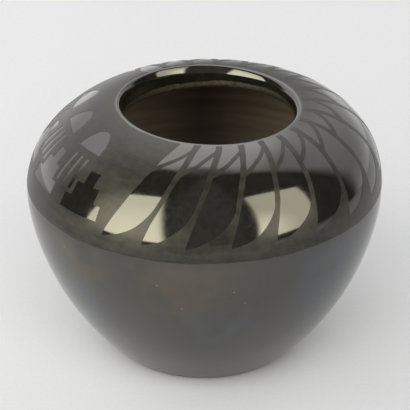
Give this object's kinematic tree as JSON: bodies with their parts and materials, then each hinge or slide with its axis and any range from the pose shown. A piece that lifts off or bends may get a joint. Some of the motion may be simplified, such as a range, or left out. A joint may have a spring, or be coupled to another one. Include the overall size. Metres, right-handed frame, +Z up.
{
  "type": "pueblo pottery vase",
  "caption": "Small squat black-on-black jar of coiled clay with a burnished slip, a thick rounded lip and a matt painted feather band round its shoulder; holds dried stems or stands as it is.",
  "frame": {"origin": "middle of the foot, on the surface that the jar stands on", "axes": "+Z up along the jar's axis; the pictured front towards -Y, +X to its right"},
  "size_m": [0.1209, 0.1209, 0.091],
  "materials": {
    "fired_clay": "bare smoke-blackened earthenware, wiped and matt",
    "burnished_slip": "black slip polished with a stone to a mirror-like gloss",
    "matt_paint": "thin black-grey slip brushed over the polish, dull"
  },
  "bodies": {
    "root": {"moulded_base": "fired_clay", "wall_coil_1": "fired_clay", "wall_coil_2": "fired_clay", "wall_coil_3": "fired_clay", "wall_coil_4": "fired_clay", "wall_coil_5": "fired_clay", "wall_coil_6": "fired_clay", "rim_coil": "fired_clay", "burnished_slip": "burnished_slip", "matt_paint": "matt_paint"}
  },
  "joints": []
}
